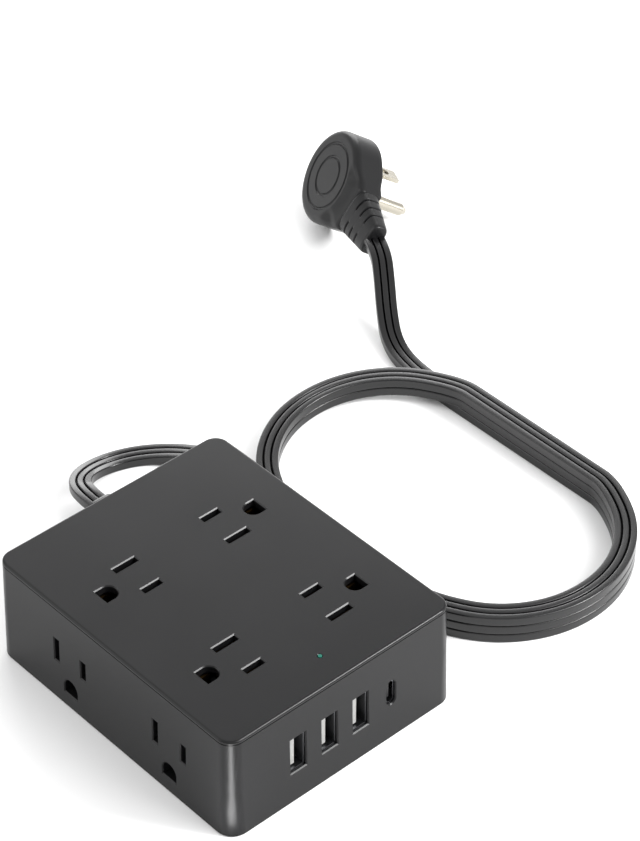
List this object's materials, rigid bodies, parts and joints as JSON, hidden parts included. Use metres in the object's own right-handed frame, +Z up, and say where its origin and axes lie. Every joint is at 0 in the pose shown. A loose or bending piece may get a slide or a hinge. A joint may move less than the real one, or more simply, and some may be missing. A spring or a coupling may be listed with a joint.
{
  "type": "multi-outlet surge protector",
  "caption": "Flat box surge protector with outlets on its top and long sides, USB ports on one end, and a flat ribbed cord in a coil that ends in a flat round plug.",
  "frame": {"origin": "middle of the box's footprint on the floor, under the rubber feet", "axes": "+X towards the USB face, -X towards the cord, +Y towards the side where the coiled cord lies, +Z up"},
  "size_m": [0.2316, 0.2596, 0.0383],
  "materials": {
    "case_plastic": "fine matt texture",
    "cover_plastic": "fine matt texture",
    "base_plastic": "matt",
    "screw_steel": "zinc plated",
    "foot_rubber": "soft",
    "tray_plastic": "matt",
    "contact_brass": "bright rolled sheet",
    "blade_nickel": "nickel plated brass",
    "board_laminate": "solder mask",
    "disc_ceramic": "lacquered",
    "capacitor_yellow": "smooth",
    "can_aluminium": "sleeved can",
    "fuse_ceramic": "glazed",
    "core_iron": "ferrite",
    "winding_tape": "polyester tape",
    "port_steel": "nickel plated sheet",
    "tongue_plastic": "moulded",
    "lamp_lens": "clear tinted",
    "button_plastic": "matt",
    "line_insulation": "smooth",
    "neutral_insulation": "smooth",
    "ground_insulation": "smooth",
    "cord_rubber": "ribbed vinyl",
    "plug_vinyl": "satin moulded vinyl"
  },
  "bodies": {
    "case": {"board_standoffs": "base_plastic", "bottom_cover": "base_plastic", "breaker_body": "base_plastic", "bulk_capacitors": "can_aluminium", "case_screws": "screw_steel", "case_strain_relief": "cord_rubber", "cord_coil": "cord_rubber", "cord_lead": "cord_rubber", "cord_tail": "cord_rubber", "film_capacitor": "capacitor_yellow", "ground_pin": "blade_nickel", "ground_wire": "ground_insulation", "lamp_led": "lamp_lens", "light_pipe": "lamp_lens", "line_blade": "blade_nickel", "line_wire": "line_insulation", "neutral_blade": "blade_nickel", "neutral_wire": "neutral_insulation", "plug_body": "plug_vinyl", "plug_strain_relief": "cord_rubber", "power_chip": "base_plastic", "reset_bezel": "base_plastic", "rubber_feet": "foot_rubber", "side_far_ground_bar": "contact_brass", "side_far_line_bar": "contact_brass", "side_far_neutral_bar": "contact_brass", "side_far_tray": "tray_plastic", "side_near_ground_bar": "contact_brass", "side_near_line_bar": "contact_brass", "side_near_neutral_bar": "contact_brass", "side_near_tray": "tray_plastic", "side_shell": "case_plastic", "surge_board": "board_laminate", "thermal_fuse": "fuse_ceramic", "top_cover": "cover_plastic", "top_far_ground_bar": "contact_brass", "top_far_line_bar": "contact_brass", "top_far_neutral_bar": "contact_brass", "top_far_tray": "tray_plastic", "top_near_ground_bar": "contact_brass", "top_near_line_bar": "contact_brass", "top_near_neutral_bar": "contact_brass", "top_near_tray": "tray_plastic", "transformer_coil": "winding_tape", "transformer_core": "core_iron", "tray_screws": "screw_steel", "usb_a_1_shell": "port_steel", "usb_a_1_tongue": "tongue_plastic", "usb_a_2_shell": "port_steel", "usb_a_2_tongue": "tongue_plastic", "usb_a_3_shell": "port_steel", "usb_a_3_tongue": "tongue_plastic", "usb_board": "board_laminate", "usb_c_shell": "port_steel", "usb_c_tongue": "tongue_plastic", "varistors": "disc_ceramic"},
    "reset_button": {"reset_button": "button_plastic"}
  },
  "joints": [
    {"name": "reset_press", "type": "slide", "parent": "case", "child": "reset_button", "axis": [1, 0, 0], "range_m": [0, 0.002], "stiffness_N_per_m": 800}
  ]
}
